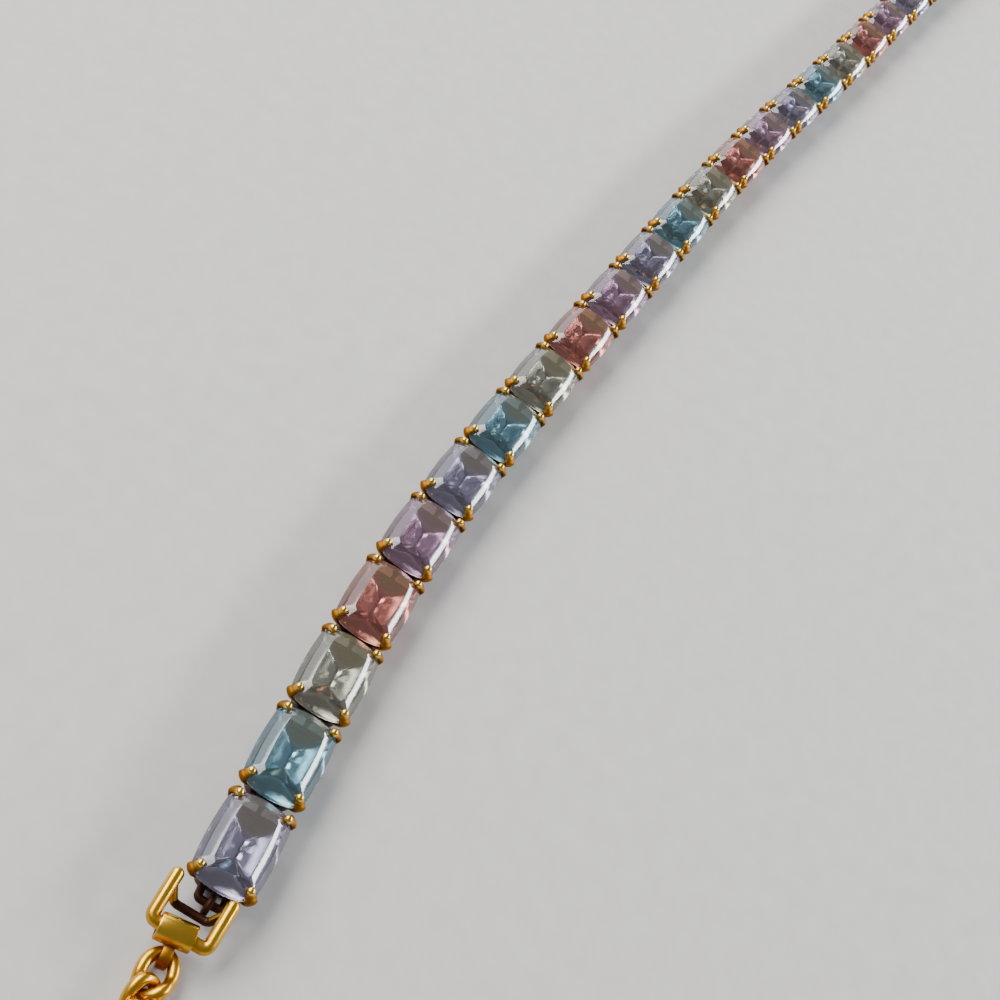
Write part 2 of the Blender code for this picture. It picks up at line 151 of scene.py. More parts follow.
# How finely round things are drawn, how full a corner's curve is, and what counts as a sharp edge
ROD_SIDES = 14
RING_STEPS = 48
LOOP_STEPS = 30
ROLL_STEPS = 36
CLASP_STEPS = 56
CLASP_SIDES = 16
CORNER_FULLNESS = 0.55
SHARP_ANGLE = math.radians(38.0)
CREASE_ANGLE = math.radians(10.0)

# Camera, fitted to the claw tips in the 1000 x 1000 photo
CAMERA_PLACE = (-119.706 * MM, -0.972 * MM, 83.741 * MM)
CAMERA_RIGHT = (0.439548, -0.801212, 0.406024)
CAMERA_DOWN = (-0.56641, -0.59807, -0.567003)
CAMERA_FORWARD = (0.697121, 0.019249, -0.716695)
CAMERA_LENS = 61.2
CAMERA_SENSOR = 36.0

# Tint of each stone in the row's repeating order
STONE_TINTS = {
    "stone_lavender": (0.46, 0.43, 0.62),
    "stone_aqua": (0.22, 0.48, 0.60),
    "stone_clear": (0.50, 0.50, 0.40),
    "stone_coral": (0.74, 0.25, 0.20),
    "stone_lilac": (0.60, 0.36, 0.54),
}

# Stone material: how clear it is, and the painted olive shade at the far end of the table, where it is also
# less clear
GEM_INDEX = 1.8
GEM_CLARITY = 0.95
CLOUD_DEPTH = 0.88
GEM_SHADE_PLACE = (1.9 * MM, 0.0, TABLE_HEIGHT)
GEM_SHADE_REACH = (2.3 * MM, 1.7 * MM, 1.0 * MM)
GEM_SHADE_TINT = (0.15, 0.125, 0.06)
GEM_SHADE_STRENGTH = 0.8
GEM_SHADE_CLARITY = 0.68

# Gold: its two tones, the two heights between which painted shade low down turns into a painted highlight
# high up, and what multiplies its tone there
GOLD_TONES = ((0.68, 0.34, 0.022), (0.82, 0.47, 0.05))
CLAW_LIGHT_HEIGHTS = (2.6 * MM, 2.88 * MM)
CLAW_SHADE_AND_HIGHLIGHT = ((0.34, 0.26, 0.3), (1.25, 1.5, 3.2))
FRAME_LIGHT_HEIGHTS = (0.8 * MM, 2.3 * MM)
TAB_LIGHT_HEIGHTS = (1.2 * MM, 2.1 * MM)
END_SHADE_AND_HIGHLIGHT = ((0.40, 0.21, 0.12), (1.15, 1.25, 1.4))
# Near-black painted shade for the cups and hinges under the stones and the near frame's lower bar
HIDDEN_SHADE_TONES = ((0.045, 0.02, 0.012), (0.085, 0.04, 0.022))

# Floor, in metres
FLOOR_SIZE = 1.6
FLOOR_TONES = ((0.60, 0.59, 0.57), (0.64, 0.63, 0.61))


def place_camera():
    camera = bpy.data.objects.new("camera", bpy.data.cameras.new("camera"))
    bpy.context.scene.collection.objects.link(camera)
    camera.data.lens = CAMERA_LENS
    camera.data.sensor_width = CAMERA_SENSOR
    camera.data.clip_start = 5 * MM
    turn = Matrix((CAMERA_RIGHT, -Vector(CAMERA_DOWN), -Vector(CAMERA_FORWARD))).transposed().to_4x4()
    camera.matrix_world = Matrix.Translation(CAMERA_PLACE) @ turn
    bpy.context.scene.camera = camera


def add_area(name, place, facing, size, power, colour):
    """Soft rectangular lamp at the place, turned the given way."""
    data = bpy.data.lights.new(name, "AREA")
    data.shape = "RECTANGLE"
    data.size = size[0]
    data.size_y = size[1]
    data.energy = power
    data.color = colour
    lamp = bpy.data.objects.new(name, data)
    bpy.context.scene.collection.objects.link(lamp)
    lamp.location = place
    lamp.rotation_euler = Vector(facing).to_track_quat("-Z", "Y").to_euler()


def light_scene():
    """Broad soft light beside the row, a low bright strip on its right and a dim panel on its left."""
    world = bpy.data.worlds.new("studio")
    bpy.context.scene.world = world
    world.use_nodes = True
    background = world.node_tree.nodes["Background"]
    background.inputs["Color"].default_value = (0.86, 0.88, 0.94, 1.0)
    background.inputs["Strength"].default_value = 0.26
    add_area("overhead", place=(-0.02, 0.30, 0.33), facing=(0.0, -0.75, -0.85), size=(0.50, 0.26),
             power=3.0, colour=(1.0, 0.98, 0.95))
    add_area("right_strip", place=(0.37, -0.25, 0.132), facing=(0.0, 1.0, 0.0), size=(0.80, 0.045),
             power=3.0, colour=(0.95, 0.97, 1.0))
    add_area("left_strip", place=(0.37, 0.28, 0.22), facing=(0.0, -1.0, -0.2), size=(0.80, 0.32),
             power=2.0, colour=(0.97, 0.98, 1.0))


def build_floor():
    bpy.ops.mesh.primitive_grid_add(x_subdivisions=8, y_subdivisions=8, size=FLOOR_SIZE, location=(0, 0, 0))
    floor = bpy.context.object
    floor.name = "floor"
    material, shader, where = new_material("floor")
    shader.inputs["Roughness"].default_value = 0.7
    noise = add_noise(material, where, scale=600.0, detail=2.0)
    tone = add_ramp(material, noise, 0.3, FLOOR_TONES[0], 0.7, FLOOR_TONES[1])
    material.node_tree.links.new(tone, shader.inputs["Base Color"])
    floor.data.materials.append(material)


def new_material(name):
    """A new material, its shader, and the place on the piece as a socket."""
    material = bpy.data.materials.new(name)
    material.use_nodes = True
    nodes = material.node_tree.nodes
    return material, nodes["Principled BSDF"], nodes.new("ShaderNodeTexCoord").outputs["Object"]


def add_noise(material, where, scale, detail):
    noise = material.node_tree.nodes.new("ShaderNodeTexNoise")
    noise.inputs["Scale"].default_value = scale
    noise.inputs["Detail"].default_value = detail
    material.node_tree.links.new(where, noise.inputs["Vector"])
    return noise.outputs["Fac"]


def add_ramp(material, source, low, low_colour, high, high_colour):
    ramp = material.node_tree.nodes.new("ShaderNodeValToRGB")
    for element, position, colour in zip(ramp.color_ramp.elements, (low, high), (low_colour, high_colour)):
        element.position = position
        element.color = (*colour, 1.0)
    material.node_tree.links.new(source, ramp.inputs["Fac"])
    return ramp.outputs["Color"]


def add_range(material, source, low, high, start=0.0, finish=1.0):
    """Goes from low to high while the source goes from start to finish, and stays there beyond."""
    span = material.node_tree.nodes.new("ShaderNodeMapRange")
    span.inputs["From Min"].default_value = start
    span.inputs["From Max"].default_value = finish
    span.inputs["To Min"].default_value = low
    span.inputs["To Max"].default_value = high
    material.node_tree.links.new(source, span.inputs["Value"])
    return span.outputs["Result"]


def add_bump(material, source, shader, strength, distance):
    bump = material.node_tree.nodes.new("ShaderNodeBump")
    bump.inputs["Strength"].default_value = strength
    bump.inputs["Distance"].default_value = distance
    material.node_tree.links.new(source, bump.inputs["Height"])
    material.node_tree.links.new(bump.outputs["Normal"], shader.inputs["Normal"])


def multiply(material, first, second):
    product = material.node_tree.nodes.new("ShaderNodeVectorMath")
    product.operation = "MULTIPLY"
    material.node_tree.links.new(first, product.inputs[0])
    material.node_tree.links.new(second, product.inputs[1])
    return product.outputs["Vector"]


def turn_into(material, share, first, second):
    """The first colour, turning into the second one as the share grows."""
    mix = material.node_tree.nodes.new("ShaderNodeMix")
    mix.data_type = "RGBA"
    factor, colour_a, colour_b = mix.inputs[0], mix.inputs[6], mix.inputs[7]
    colour_b.default_value = (*second, 1.0)
    material.node_tree.links.new(share, factor)
    material.node_tree.links.new(first, colour_a)
    return mix.outputs[2]


def height_share(material, where, low, high):
    """Grows from 0 to 1 between two heights above the piece's own origin."""
    split = material.node_tree.nodes.new("ShaderNodeSeparateXYZ")
    material.node_tree.links.new(where, split.inputs["Vector"])
    return add_range(material, split.outputs["Z"], 0.0, 1.0, start=low, finish=high)


def gem_shade_share(material, where):
    """Grows from 0 to 1 towards the middle of the painted shade on a stone."""
    zone = material.node_tree.nodes.new("ShaderNodeMapping")
    zone.vector_type = "TEXTURE"
    zone.inputs["Location"].default_value = GEM_SHADE_PLACE
    zone.inputs["Scale"].default_value = GEM_SHADE_REACH
    material.node_tree.links.new(where, zone.inputs["Vector"])
    ball = material.node_tree.nodes.new("ShaderNodeTexGradient")
    ball.gradient_type = "SPHERICAL"
    material.node_tree.links.new(zone.outputs["Vector"], ball.inputs["Vector"])
    return add_range(material, ball.outputs["Fac"], 0.0, 1.0, start=0.05, finish=0.4)


def gold_material(name, roughness, light_heights=None, shade_and_highlight=END_SHADE_AND_HIGHLIGHT):
    """Polished plate with tone patches and a fine grain. Given light heights, it is rougher low down and has
    painted shade low down and a painted highlight high up.
    """
    material, shader, where = new_material(name)
    links = material.node_tree.links
    shader.inputs["Metallic"].default_value = 1.0
    patches = add_noise(material, where, scale=420.0, detail=4.0)
    grain = add_noise(material, where, scale=5200.0, detail=3.0)
    colour = add_ramp(material, patches, 0.3, GOLD_TONES[0], 0.72, GOLD_TONES[1])
    share = patches
    if light_heights:
        share = height_share(material, where, *light_heights)
        # Painted shade below the light heights and a painted highlight above them, multiplied into the gold's
        # tone
        colour = multiply(material, colour, add_ramp(material, share, 0.0, shade_and_highlight[0], 1.0, shade_and_highlight[1]))
    links.new(colour, shader.inputs["Base Color"])
    links.new(add_range(material, share, *roughness), shader.inputs["Roughness"])
    add_bump(material, grain, shader, strength=0.12, distance=0.02 * MM)
    return material


def hidden_shade_material():
    """Rough, blotched metal of the hinges and cup walls, darkened to near black as painted shade under the
    stones and inside the near frame.
    """
    material, shader, where = new_material("painted_shade_gold")
    links = material.node_tree.links
    shader.inputs["Metallic"].default_value = 1.0
    blotches = add_noise(material, where, scale=900.0, detail=4.0)
    links.new(add_ramp(material, blotches, 0.3, HIDDEN_SHADE_TONES[0], 0.7, HIDDEN_SHADE_TONES[1]),
              shader.inputs["Base Color"])
    links.new(add_range(material, blotches, 0.45, 0.65), shader.inputs["Roughness"])
    add_bump(material, blotches, shader, strength=0.2, distance=0.03 * MM)
    return material


def shade_inside(mesh, gold, shaded_gold, inside):
    """Give the faces whose middle is inside the painted-shade metal, and the others the polished one."""
    mesh.materials.clear()
    mesh.materials.append(gold)
    mesh.materials.append(shaded_gold)
    for face in mesh.polygons:
        face.material_index = 1 if inside(face.center) else 0


def gem_material(name):
    """Clear tinted stone, cloudy, unevenly polished, with painted olive shade at the far end of its table,
    where it is also less clear.
    """
    material, shader, where = new_material(name + "_cut")
    links = material.node_tree.links
    shader.inputs["IOR"].default_value = GEM_INDEX
    cloud = add_noise(material, where, scale=300.0, detail=2.0)
    tint = STONE_TINTS[name]
    deep = [channel * CLOUD_DEPTH for channel in tint]
    colour = add_ramp(material, cloud, 0.35, deep, 0.65, tint)
    far_shade = gem_shade_share(material, where)
    # Painted olive shade mixed into the stone's colour over the far end of its table, which is also less
    # clear there
    far_shaded = turn_into(material, add_range(material, far_shade, 0.0, GEM_SHADE_STRENGTH), colour, GEM_SHADE_TINT)
    links.new(far_shaded, shader.inputs["Base Color"])
    links.new(add_range(material, far_shade, GEM_CLARITY, GEM_SHADE_CLARITY), shader.inputs["Transmission Weight"])
    links.new(add_range(material, cloud, 0.07, 0.15), shader.inputs["Roughness"])
    return material


def arc(start, end, rise, steps):
    """Points from start up to but not with end, bulged outwards by the rise."""
    run = end - start
    outward = Vector((run.y, -run.x, 0)).normalized()
    points = []
    for step in range(steps):
        share = step / steps
        points.append(start + run * share + outward * 4 * rise * share * (1 - share))
    return points


def rounded_ring(half_length, half_width, cut, height, bulges=(0.0, 0.0), steps=(6, 4, 8)):
    """Ring at one height: bulged ends and sides between rounded corners, anticlockwise from above."""
    end_x = half_length - bulges[0]
    side_y = half_width - bulges[1]
    corner_rise = cut * (1 - math.sqrt(0.5)) * CORNER_FULLNESS
    corners = [Vector((end_x, -side_y + cut, height)), Vector((end_x, side_y - cut, height))]
    corners += [Vector((end_x - cut, side_y, height)), Vector((-end_x + cut, side_y, height))]
    corners += [Vector((-point.x, -point.y, height)) for point in corners]
    rises = [bulges[0], corner_rise, bulges[1], corner_rise] * 2
    counts = [steps[0], steps[1], steps[2], steps[1]] * 2
    ring = []
    for index, start in enumerate(corners):
        ring += arc(start, corners[(index + 1) % len(corners)], rises[index], counts[index])
    return ring


def skin(rings, back_to_first=False):
    """Faces between neighbouring rings of equal length. Returns the shape and its rows of corners."""
    shape = bmesh.new()
    rows = [[shape.verts.new(point) for point in ring] for ring in rings]
    count = len(rows[0])
    pairs = list(zip(rows, rows[1:]))
    if back_to_first:
        pairs.append((rows[-1], rows[0]))
    for here, after in pairs:
        for index in range(count):
            following = (index + 1) % count
            shape.faces.new((here[index], here[following], after[following], after[index]))
    return shape, rows


def clean(shape):
    """Merge corners that meet, drop faces without area and turn all faces outwards."""
    bmesh.ops.remove_doubles(shape, verts=shape.verts, dist=0.0005 * MM)
    bmesh.ops.dissolve_degenerate(shape, edges=shape.edges, dist=0.0002 * MM)
    bmesh.ops.recalc_face_normals(shape, faces=shape.faces)


def mesh_of(name, shape):
    mesh = bpy.data.meshes.new(name)
    shape.to_mesh(mesh)
    shape.free()
    return mesh


def stack(rings, capped=True):
    """Mesh through rings of equal length, closed with flat caps or back to the first ring."""
    shape, rows = skin(rings, back_to_first=not capped)
    if capped:
        shape.faces.new(list(reversed(rows[0])))
        shape.faces.new(rows[-1])
    clean(shape)
    return mesh_of("shell", shape)


def sweep(points, radii, sides, closed=False, side=None):
    """Rod along the points. Each radius is a number, or a pair: along the given side and across it."""
    points = [Vector(point) for point in points]
    count = len(points)
    if not isinstance(radii, list):
        radii = [radii] * count
    rings = []
    for index, point in enumerate(points):
        before = points[index - 1] if closed or index else point
        after = points[(index + 1) % count] if closed or index < count - 1 else point
        ahead = (after - before).normalized()
        if side is None:
            level = Vector((0, 0, 1)) if abs(ahead.z) < 0.8 else Vector((1, 0, 0))
            side = ahead.cross(level)
        side = (side - ahead * side.dot(ahead)).normalized()
        over = ahead.cross(side)
        along, across = radii[index] if isinstance(radii[index], tuple) else (radii[index], radii[index])
        ring = []
        for step in range(sides):
            angle = 2 * math.pi * (step + 0.5) / sides
            ring.append(point + side * math.cos(angle) * along + over * math.sin(angle) * across)
        rings.append(ring)
    return stack(rings, capped=not closed)


def smooth_path(points, steps):
    """Smooth curve through the points."""
    points = [Vector(point) for point in points]
    ends = [points[0] * 2 - points[1], *points, points[-1] * 2 - points[-2]]
    path = []
    for a, b, c, d in zip(ends, ends[1:], ends[2:], ends[3:]):
        for step in range(steps):
            t = step / steps
            bend = 2 * a - 5 * b + 4 * c - d
            twist = 3 * b - 3 * c + d - a
            path.append(0.5 * (2 * b + (c - a) * t + bend * t ** 2 + twist * t ** 3))
    path.append(points[-1])
    return path


def round_rod(points, radius, sides, cap_steps=5):
    """Rod with half-round ends."""
    points = [Vector(point) for point in points]
    first = (points[0] - points[1]).normalized()
    last = (points[-1] - points[-2]).normalized()
    head = []
    tail = []
    for step in range(1, cap_steps + 1):
        angle = math.pi / 2 * step / (cap_steps + 0.3)
        head.insert(0, (points[0] + first * radius * math.sin(angle), radius * math.cos(angle)))
        tail.append((points[-1] + last * radius * math.sin(angle), radius * math.cos(angle)))
    rows = head + [(point, radius) for point in points] + tail
    return sweep([point for point, _ in rows], [size for _, size in rows], sides)


def circle(along, radius, height, steps):
    """Points of an upright circle in the plane of the band."""
    points = []
    for step in range(steps):
        angle = 2 * math.pi * step / steps
        points.append(Vector((along + radius * math.cos(angle), 0, height + radius * math.sin(angle))))
    return points


def fuse(name, meshes):
    """Join the shells into one closed mesh."""
    scene = bpy.context.scene
    body = bpy.data.objects.new(name, meshes[0])
    scene.collection.objects.link(body)
    helpers = []
    for mesh in meshes[1:]:
        helper = bpy.data.objects.new("helper", mesh)
        scene.collection.objects.link(helper)
        helpers.append(helper)
        union = body.modifiers.new("union", "BOOLEAN")
        union.operation = "UNION"
        union.solver = "EXACT"
        union.object = helper
    graph = bpy.context.evaluated_depsgraph_get()
    graph.update()
    result = bpy.data.meshes.new_from_object(body.evaluated_get(graph))
    result.name = name
    for thing in [body, *helpers]:
        bpy.data.objects.remove(thing, do_unlink=True)
    result.shade_smooth()
    result.set_sharp_from_angle(angle=SHARP_ANGLE)
    return result


def add_piece(name, mesh, material, node, place):
    piece = bpy.data.objects.new(name, mesh)
    bpy.context.scene.collection.objects.link(piece)
    if not mesh.materials:
        mesh.materials.append(material)
    piece.matrix_world = place
    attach(piece, "root")
    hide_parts(node)
    return piece


def lie_of(node):
    """Middle and heading of a stone, read from its solid."""
    corners = [vert.co for vert in bpy.data.objects[node].data.vertices]
    middle = sum(corners, Vector()) / len(corners)
    xx = sum((corner.x - middle.x) ** 2 for corner in corners)
    yy = sum((corner.y - middle.y) ** 2 for corner in corners)
    xy = sum((corner.x - middle.x) * (corner.y - middle.y) for corner in corners)
    return Vector((middle.x, middle.y, 0)), 0.5 * math.atan2(2 * xy, xx - yy)


def placing(where, heading):
    return Matrix.Translation(where) @ Matrix.Rotation(heading, 4, "Z")


def ahead_of(where, heading, forward, left=0.0):
    return where + Matrix.Rotation(heading, 3, "Z") @ Vector((forward, left, 0))


def stone_ring(margin, height):
    share = 1 - margin / (STONE_WIDTH / 2)
    bulges = (END_BULGE * share, SIDE_BULGE * share)
    size = (GEM_LENGTH / 2 - margin, STONE_WIDTH / 2 - margin)
    return rounded_ring(*size, CORNER_CUT * share, height, bulges)


def soften(shape, low, high, width, steps):
    """Round the creases whose ends both lie between two heights."""
    creases = []
    for edge in shape.edges:
        inside = all(low < vert.co.z < high for vert in edge.verts)
        if inside and edge.is_manifold and edge.calc_face_angle() > CREASE_ANGLE:
            creases.append(edge)
    bmesh.ops.bevel(shape, geom=creases, offset=width, segments=steps, profile=0.5, affect="EDGES",
                    clamp_overlap=True)


def stone_mesh(name):
    """Cushion cut: broad table, two crown steps, girdle, and a stepped pavilion that ends in a keel."""
    girdle = stone_ring(0.0, GIRDLE_LOW)
    keel = [Vector((max(-KEEL_HALF, min(KEEL_HALF, point.x)), 0, KEEL_LIFT)) for point in girdle]
    rings = [keel]
    for share, depth in PAVILION_STEPS:
        ring = [point.lerp(low, share) for point, low in zip(girdle, keel)]
        for point in ring:
            point.z = GIRDLE_LOW + (KEEL_LIFT - GIRDLE_LOW) * depth
        rings.append(ring)
    rings += [girdle, stone_ring(0.0, GIRDLE_TOP), stone_ring(CROWN_STEP_IN, GIRDLE_TOP + CROWN_STEP_RISE)]
    rings.append(stone_ring(CROWN_MARGIN, TABLE_HEIGHT))
    shape, rows = skin(rings)
    shape.faces.new(rows[-1])
    clean(shape)
    soften(shape, 0.0, GIRDLE_LOW - 0.05 * MM, PAVILION_SOFTNESS, 3)
    soften(shape, GIRDLE_LOW - 0.02 * MM, 2 * TABLE_HEIGHT, CROWN_SOFTNESS, 2)
    mesh = mesh_of(name, shape)
    mesh.shade_smooth()
    return mesh


def cup_shell():
    """Closed cup with rounded rims, as one skin from the underside over the rim to the inner floor."""
    edge = CUP_EDGE
    rows = [(edge, 0.0), (edge * 0.3, edge * 0.3), (0.0, edge), (0.0, CUP_HEIGHT - edge)]
    rows += [(edge * 0.3, CUP_HEIGHT - edge * 0.3), (edge, CUP_HEIGHT), (CUP_WALL - edge, CUP_HEIGHT)]
    rows += [(CUP_WALL - edge * 0.3, CUP_HEIGHT - edge * 0.3), (CUP_WALL, CUP_HEIGHT - edge)]
    rows += [(CUP_WALL, CUP_FLOOR + edge), (CUP_WALL + edge, CUP_FLOOR)]
    rings = []
    for inset, height in rows:
        cut = CUP_CORNER - inset * (2 - math.sqrt(2))
        rings.append(rounded_ring(CUP_END - inset, CUP_HALF_WIDTH - inset, cut, height, steps=(2, 5, 2)))
    return stack(rings)


def claw_route():
    """Foot, knee and tip of the claw at the far left corner, and the outward direction there."""
    end_corner = Vector((STONE_LENGTH / 2 - END_BULGE, STONE_WIDTH / 2 - SIDE_BULGE - CORNER_CUT, 0))
    corner = end_corner + Vector((-CORNER_CUT, CORNER_CUT, 0)) / 2
    outward = Vector((1, 1, 0)).normalized()
    foot_in = CUP_CORNER / 2 + CUP_WALL / 2 * math.sqrt(0.5)
    foot = Vector((CUP_END - foot_in, CUP_HALF_WIDTH - foot_in, CUP_HEIGHT / 2))
    lean = math.hypot(corner.x - foot.x, corner.y - foot.y) / (GIRDLE_TOP - foot.z)
    half_thick = CLAW_THICKNESS / 2 * math.hypot(1.0, lean)
    knee = corner + outward * (half_thick + STONE_CLEARANCE + lean * (GIRDLE_TOP - GIRDLE_LOW))
    knee.z = GIRDLE_TOP
    crown = math.atan(CROWN_HEIGHT / CROWN_MARGIN)
    tip = corner - outward * CLAW_GRIP
    tip.z = GIRDLE_TOP + CLAW_GRIP * math.tan(crown) + (BEAD_RADIUS + STONE_CLEARANCE) / math.cos(crown)
    return foot, knee, tip, outward


def claw_shells():
    """Flat claws that bend over the stone's corners, each with a round bead at its tip."""
    foot, knee, tip, outward = claw_route()
    middle = foot.lerp(knee, 0.55)
    bend = knee + (tip - knee) * 0.5 + outward * 0.03 * MM
    rise = Vector((0, 0, BEAD_RADIUS * 0.35))
    shells = []
    for mirror in (Vector((1, 1, 1)), Vector((-1, 1, 1)), Vector((-1, -1, 1)), Vector((1, -1, 1))):
        path = smooth_path([point * mirror for point in (foot, middle, knee, bend, tip)], CLAW_STEPS)
        radii = []
        for index in range(len(path)):
            whole, share = divmod(index / CLAW_STEPS, 1)
            low = CLAW_PAIRS[int(whole)]
            high = CLAW_PAIRS[min(int(whole) + 1, len(CLAW_PAIRS) - 1)]
            radii.append(tuple((a + (b - a) * share) * MM for a, b in zip(low, high)))
        shells.append(sweep(path, radii, ROD_SIDES, side=-outward * mirror))
        shells.append(round_rod([tip * mirror - rise, tip * mirror + rise * 0.2], BEAD_RADIUS, 16))
    return shells


def hinge_loop(along):
    return sweep(circle(along, LOOP_MAJOR, BAR_HEIGHT, LOOP_STEPS), LOOP_WIRE, 12, closed=True)


def setting_mesh():
    """Cup, claws, the bar for the link before and the loop for the link after."""
    root = CUP_END - CUP_WALL / 2
    arm = CUP_HEIGHT / 2
    inner = BAR_CORNER * 0.25
    bar = [(-root, BAR_HALF_SPAN, arm), (-PITCH / 2 + BAR_CORNER, BAR_HALF_SPAN, BAR_HEIGHT - 0.06 * MM)]
    bar.append((-PITCH / 2 + inner, BAR_HALF_SPAN - inner, BAR_HEIGHT))
    bar.append((-PITCH / 2, BAR_HALF_SPAN - BAR_CORNER, BAR_HEIGHT))
    bar += [(x, -y, z) for x, y, z in reversed(bar)]
    meet = (PITCH / 2 - LOOP_MAJOR * math.cos(NECK_DROP), 0, BAR_HEIGHT - LOOP_MAJOR * math.sin(NECK_DROP))
    shells = [cup_shell(), *claw_shells()]
    shells.append(sweep(smooth_path(bar, 4), BAR_RADIUS * 0.97, ROD_SIDES))
    shells.append(hinge_loop(PITCH / 2))
    shells.append(sweep([(root, 0, arm), meet], NECK_RADIUS, 12))
    return fuse("claw_cup", shells)


def frame_height(along):
    slope = (FRAME_TIP_HEIGHT - FRAME_CROSS_HEIGHT) / FRAME_LENGTH
    return FRAME_TIP_HEIGHT + (along - FRAME_TIP) * slope


def frame_bar(along, slide):
    """Path of the lower hinge bar between the legs of a frame, with rounded corners."""
    leg = FRAME_TIP - FRAME_ROD
    inner = FRAME_HALF_SPAN - FRAME_ROD - BAR_RADIUS
    bar = [Vector((leg, FRAME_HALF_SPAN, frame_height(leg)))]
    corner = Vector((along, inner, BAR_HEIGHT))
    back = (bar[0] - corner).normalized() * BAR_CORNER
    across = Vector((0, -BAR_CORNER, 0))
    for step in range(6):
        share = step / 5
        bar.append(corner + back * (1 - share) ** 2 + across * share ** 2)
    bar += [Vector((point.x, -point.y, point.z)) for point in reversed(bar)]
    for point in bar:
        point.y += slide
    return bar


def end_frame_mesh(name, slide, with_loop):
    """U-shaped rod with round free ends, its lower hinge bar and, at the near end, the loop on it."""
    rail = [Vector((FRAME_TIP - 0.08 * MM, FRAME_HALF_SPAN, 0))]
    for step in range(8):
        angle = math.pi / 2 * step / 7
        rail.append(Vector((FRAME_CROSS + FRAME_BEND * (1 - math.sin(angle)),
                            FRAME_HALF_SPAN - FRAME_BEND * (1 - math.cos(angle)), 0)))
    rail += [Vector((point.x, -point.y, 0)) for point in reversed(rail)]
    for point in rail:
        point.y += slide
        point.z = frame_height(point.x)
    shells = [round_rod(rail, FRAME_ROD, 20)]
    along = -(LOOP_OUTER + LOOP_WIRE) if with_loop else 0.0
    shells.append(sweep(frame_bar(along, slide), BAR_RADIUS, ROD_SIDES))
    if with_loop:
        shells.append(hinge_loop(0.0))
        shells.append(sweep([(along, 0, BAR_HEIGHT), (-LOOP_MAJOR, 0, BAR_HEIGHT)], NECK_RADIUS, 12))
    return fuse(name, shells)


def roll_shell(along, height, hole, wall, width):
    """Rolled strap round an axis across the band, with rounded edges."""
    edge = ROLL_EDGE
    half = width / 2
    outer = hole + wall
    profile = [(hole, half - edge), (hole + edge * 0.3, half - edge * 0.3), (hole + edge, half)]
    profile += [(outer - edge, half), (outer - edge * 0.3, half - edge * 0.3), (outer, half - edge)]
    profile += [(radius, -across) for radius, across in reversed(profile)]
    rings = []
    for step in range(ROLL_STEPS):
        angle = 2 * math.pi * step / ROLL_STEPS
        ring = []
        for radius, across in profile:
            ring.append(Vector((along + radius * math.cos(angle), across, height + radius * math.sin(angle))))
        rings.append(ring)
    return stack(rings, capped=False)


def tab_mesh(name):
    """Fold tab: a broad roll on the frame's rod, a tapering web and a narrow roll as the eye."""
    shells = [roll_shell(0.0, FRAME_CROSS_HEIGHT, TAB_HOLE, TAB_WALL, TAB_WIDTH)]
    shells.append(roll_shell(-TAB_REACH, CHAIN_HEIGHT, EYE_HOLE, TAB_WALL, EYE_WIDTH))
    upper = Vector((-TAB_HOLE - TAB_WALL / 2, 0, FRAME_CROSS_HEIGHT))
    lower = Vector((-TAB_REACH + EYE_HOLE + TAB_WALL / 2, 0, CHAIN_HEIGHT))
    web = [upper.lerp(lower, share) for share, _ in WEB_PAIRS]
    radii = [(half_width * MM, TAB_WALL * 0.45) for _, half_width in WEB_PAIRS]
    shells.append(sweep(web, radii, 16, side=Vector((0, 1, 0))))
    return fuse(name, shells)


def curb_link(name, flat_front):
    """Twisted curb link. The first one is flat where it passes the tab's eye, and pulled tight into it."""
    path = []
    for step in range(RING_STEPS):
        angle = 2 * math.pi * step / RING_STEPS
        weight = 1.0
        if flat_front:
            weight = max(0.0, min(1.0, (0.35 - math.cos(angle)) / 0.8))
        pull = EYE_SLACK * (1 - weight)
        path.append((LINK_HALF_LENGTH * math.cos(angle) + pull, LINK_HALF_WIDTH * math.sin(angle),
                     CHAIN_HEIGHT + CHAIN_TWIST * weight * math.sin(2 * angle)))
    mesh = sweep(path, CHAIN_WIRE, ROD_SIDES, closed=True)
    mesh.name = name
    mesh.shade_smooth()
    return mesh


def rounded_square(angle):
    """Sideways and upward share, from -1 to 1, of a place on a section between a square and a circle."""
    shares = (math.cos(angle), math.sin(angle))
    return [math.copysign(abs(share) ** CLASP_ROUNDNESS, share) for share in shares]


def clasp_mesh():
    """Lobster clasp as one plain piece: a rounded oval body with a hook opening, and an eye at 0."""
    start = EYE_HOLE + TAB_WALL / 2
    finish = start + CLASP_LENGTH
    opening = (start + CLASP_HEEL, finish - CLASP_RIM)
    rings = []
    for step in range(CLASP_STEPS):
        angle = 2 * math.pi * step / CLASP_STEPS
        turn = Vector((math.cos(angle), math.sin(angle), 0))
        outer = Vector(((start + finish) / 2 + CLASP_LENGTH / 2 * turn.x, CLASP_WIDTH / 2 * turn.y, 0))
        inner = Vector((sum(opening) / 2 + (opening[1] - opening[0]) / 2 * turn.x,
                        (CLASP_WIDTH / 2 - CLASP_RIM) * turn.y, 0))
        ring = []
        for side in range(CLASP_SIDES):
            swell, rise = rounded_square(2 * math.pi * (side + 0.5) / CLASP_SIDES)
            height = FLOOR_GAP + CLASP_THICKNESS / 2 * (1 + rise)
            ring.append((outer + inner) / 2 + (outer - inner) / 2 * swell + Vector((0, 0, height)))
        rings.append(ring)
    eye = roll_shell(0.0, CHAIN_HEIGHT, EYE_HOLE, TAB_WALL, EYE_WIDTH)
    return fuse("clasp_body", [stack(rings, capped=False), eye])


def under_stone(place):
    """Whether a place on a setting is part of its cup or its hinge."""
    return place.z < CUP_HEIGHT or abs(place.x) > CUP_END and abs(place.y) < CUP_HALF_WIDTH / 2


def inside_frame(place):
    """Whether a place on the near frame is part of its lower bar or its loop."""
    return place.z < SHADE_TOP and place.x > FRAME_CROSS + 2 * FRAME_ROD and abs(place.y) < FRAME_HALF_SPAN


